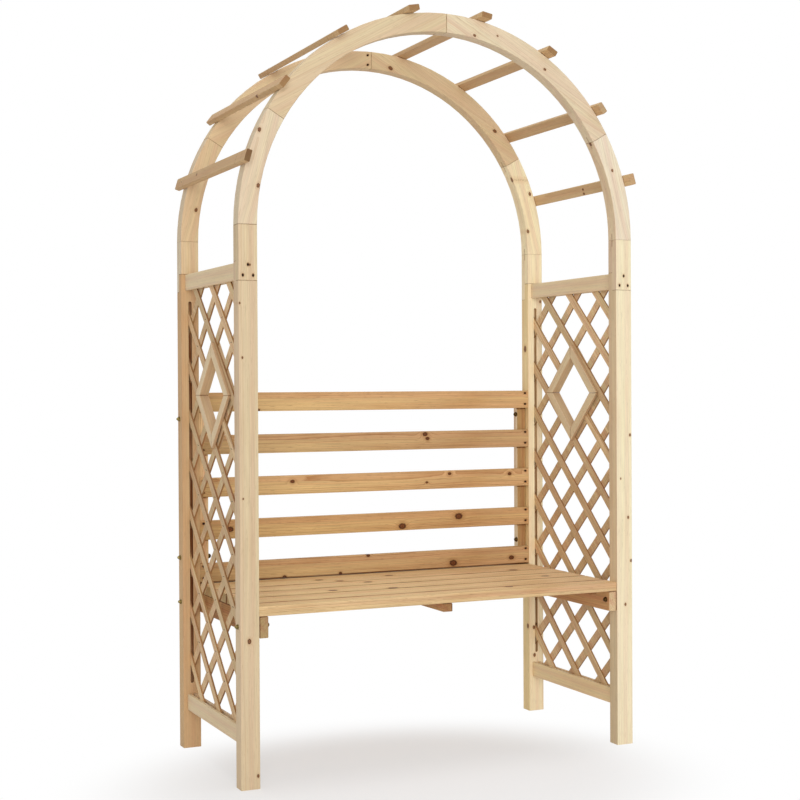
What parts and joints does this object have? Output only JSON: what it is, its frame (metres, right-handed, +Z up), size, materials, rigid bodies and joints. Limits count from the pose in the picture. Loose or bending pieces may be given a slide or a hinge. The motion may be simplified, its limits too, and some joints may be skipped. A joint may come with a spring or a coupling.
{
  "type": "garden arbour seat",
  "caption": "Slatted wooden garden seat with a back rest under a round rung-topped arch, with lattice side panels that have a diamond opening.",
  "frame": {"origin": "on the ground in the middle between the four feet", "axes": "+Z up, -Y the way a sitter looks, +X to the right as seen from the front"},
  "size_m": [1.1686, 0.6, 1.9889],
  "materials": {
    "frame_spruce": "planed, unfinished",
    "slat_spruce": "planed, unfinished, warmer heartwood",
    "rung_spruce": "planed, unfinished",
    "lattice_spruce": "sawn, unfinished",
    "bolt_zinc": "yellow zinc plate"
  },
  "bodies": {
    "root": {"back_left_arch_leg": "frame_spruce", "back_left_arch_lower": "frame_spruce", "back_left_arch_upper": "frame_spruce", "back_left_batten": "slat_spruce", "back_left_post": "frame_spruce", "back_right_arch_leg": "frame_spruce", "back_right_arch_lower": "frame_spruce", "back_right_arch_upper": "frame_spruce", "back_right_batten": "slat_spruce", "back_right_post": "frame_spruce", "back_slat_1": "slat_spruce", "back_slat_2": "slat_spruce", "back_slat_3": "slat_spruce", "back_slat_4": "slat_spruce", "back_slat_5": "slat_spruce", "bearer_bolt_back_left": "bolt_zinc", "bearer_bolt_back_right": "bolt_zinc", "bearer_bolt_front_left": "bolt_zinc", "bearer_bolt_front_right": "bolt_zinc", "front_left_arch_leg": "frame_spruce", "front_left_arch_lower": "frame_spruce", "front_left_arch_upper": "frame_spruce", "front_left_post": "frame_spruce", "front_right_arch_leg": "frame_spruce", "front_right_arch_lower": "frame_spruce", "front_right_arch_upper": "frame_spruce", "front_right_post": "frame_spruce", "left_diamond_lower_back": "rung_spruce", "left_diamond_lower_front": "rung_spruce", "left_diamond_upper_back": "rung_spruce", "left_diamond_upper_front": "rung_spruce", "left_lattice": "lattice_spruce", "left_lower_rail": "rung_spruce", "left_upper_rail": "rung_spruce", "right_diamond_lower_back": "rung_spruce", "right_diamond_lower_front": "rung_spruce", "right_diamond_upper_back": "rung_spruce", "right_diamond_upper_front": "rung_spruce", "right_lattice": "lattice_spruce", "right_lower_rail": "rung_spruce", "right_upper_rail": "rung_spruce", "rung_1": "rung_spruce", "rung_2": "rung_spruce", "rung_3": "rung_spruce", "rung_4": "rung_spruce", "rung_5": "rung_spruce", "rung_6": "rung_spruce", "rung_7": "rung_spruce", "rung_8": "rung_spruce", "seat_left_bearer": "slat_spruce", "seat_middle_bearer": "slat_spruce", "seat_right_bearer": "slat_spruce", "seat_slat_1": "slat_spruce", "seat_slat_2": "slat_spruce", "seat_slat_3": "slat_spruce", "seat_slat_4": "slat_spruce", "seat_slat_5": "slat_spruce"}
  },
  "joints": []
}
